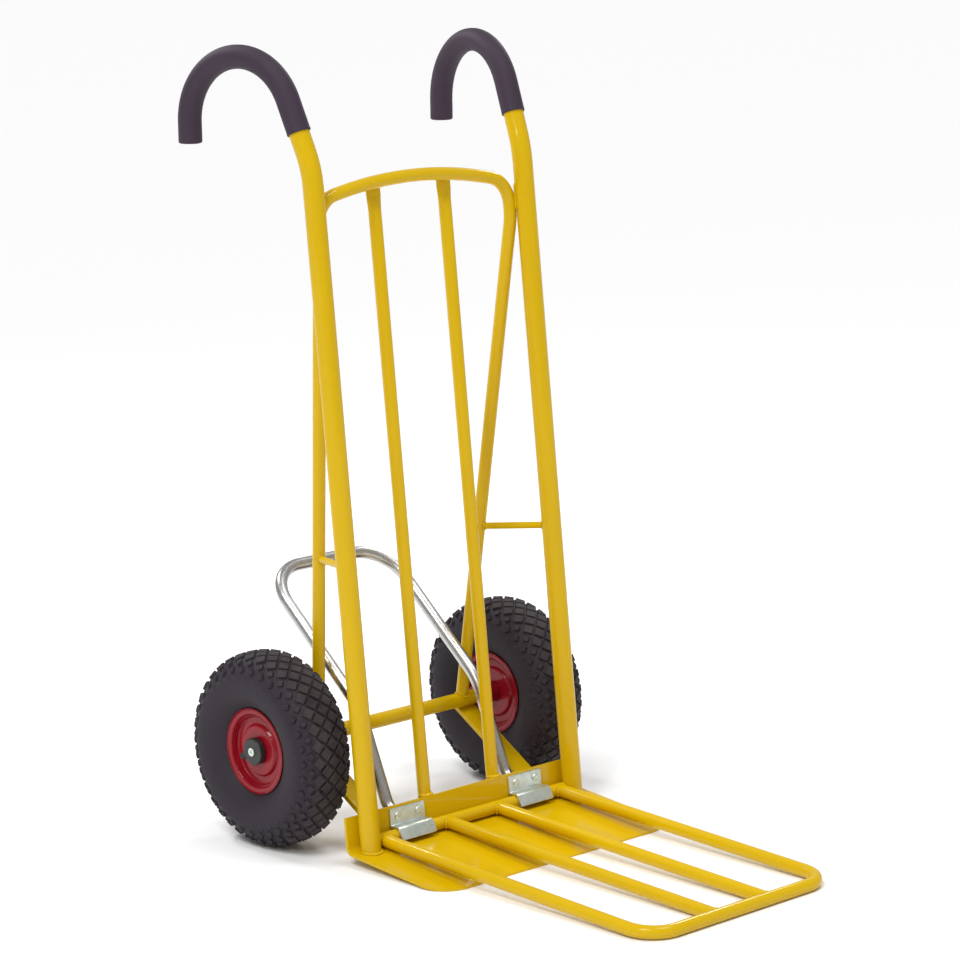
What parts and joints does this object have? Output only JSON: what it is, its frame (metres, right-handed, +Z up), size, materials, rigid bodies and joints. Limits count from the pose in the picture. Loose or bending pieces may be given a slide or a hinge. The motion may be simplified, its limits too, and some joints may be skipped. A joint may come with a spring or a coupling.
{
  "type": "sack truck",
  "caption": "Tubular sack truck with hooked handles, pneumatic wheels on an axle, a bent toe plate and a tube toe that folds up between the rails.",
  "frame": {"origin": "middle of the truck's width and length, on the floor", "axes": "+X to the right seen from the toe's side, +Y to the back with the wheels, +Z up"},
  "size_m": [0.5076, 0.7908, 1.0465],
  "materials": {
    "yellow_paint": "glossy powder coat",
    "red_paint": "glossy paint",
    "grip_rubber": "matte",
    "tyre_rubber": "moulded, matte",
    "tube_rubber": "matte",
    "valve_rubber": "satin",
    "cap_plastic": "satin",
    "zinc": "zinc plated",
    "bare_steel": "bright drawn",
    "bearing_steel": "ground"
  },
  "bodies": {
    "frame": {"toe_plate": "yellow_paint", "left_rail": "yellow_paint", "right_rail": "yellow_paint", "left_grip": "grip_rubber", "right_grip": "grip_rubber", "rear_hoop": "yellow_paint", "left_inner_bar": "yellow_paint", "right_inner_bar": "yellow_paint", "left_tie_rod": "yellow_paint", "right_tie_rod": "yellow_paint", "left_strut": "yellow_paint", "right_strut": "yellow_paint", "axle": "yellow_paint", "axle_spacers": "zinc", "axle_washers": "zinc", "left_hub_cap": "cap_plastic", "right_hub_cap": "cap_plastic", "cap_screws": "zinc", "left_hinge_bracket": "zinc", "right_hinge_bracket": "zinc", "tipping_hoop": "bare_steel", "hoop_feet": "bare_steel", "hinge_bolts": "zinc", "hinge_washers": "zinc", "hinge_nuts": "zinc"},
    "left_wheel": {"left_tyre": "tyre_rubber", "left_inner_tube": "tube_rubber", "left_rim_band": "red_paint", "left_outer_disc": "red_paint", "left_inner_disc": "red_paint", "left_hub": "red_paint", "left_bearings": "bearing_steel", "left_valve": "valve_rubber"},
    "right_wheel": {"right_tyre": "tyre_rubber", "right_inner_tube": "tube_rubber", "right_rim_band": "red_paint", "right_outer_disc": "red_paint", "right_inner_disc": "red_paint", "right_hub": "red_paint", "right_bearings": "bearing_steel", "right_valve": "valve_rubber"},
    "folding_toe": {"pivot_tube": "yellow_paint", "toe_loop": "yellow_paint", "left_toe_bar": "yellow_paint", "right_toe_bar": "yellow_paint"}
  },
  "joints": [
    {"name": "left_wheel_spin", "type": "hinge", "parent": "frame", "child": "left_wheel", "pos_m": [-0.2113, 0.2582, 0.13], "axis": [1, 0, 0], "continuous": true},
    {"name": "right_wheel_spin", "type": "hinge", "parent": "frame", "child": "right_wheel", "pos_m": [0.2113, 0.2582, 0.13], "axis": [1, 0, 0], "continuous": true},
    {"name": "toe_fold", "type": "hinge", "parent": "frame", "child": "folding_toe", "pos_m": [0, 0.09961, 0.02641], "axis": [-1, 0, 0], "range_deg": [0, 98.16]}
  ]
}
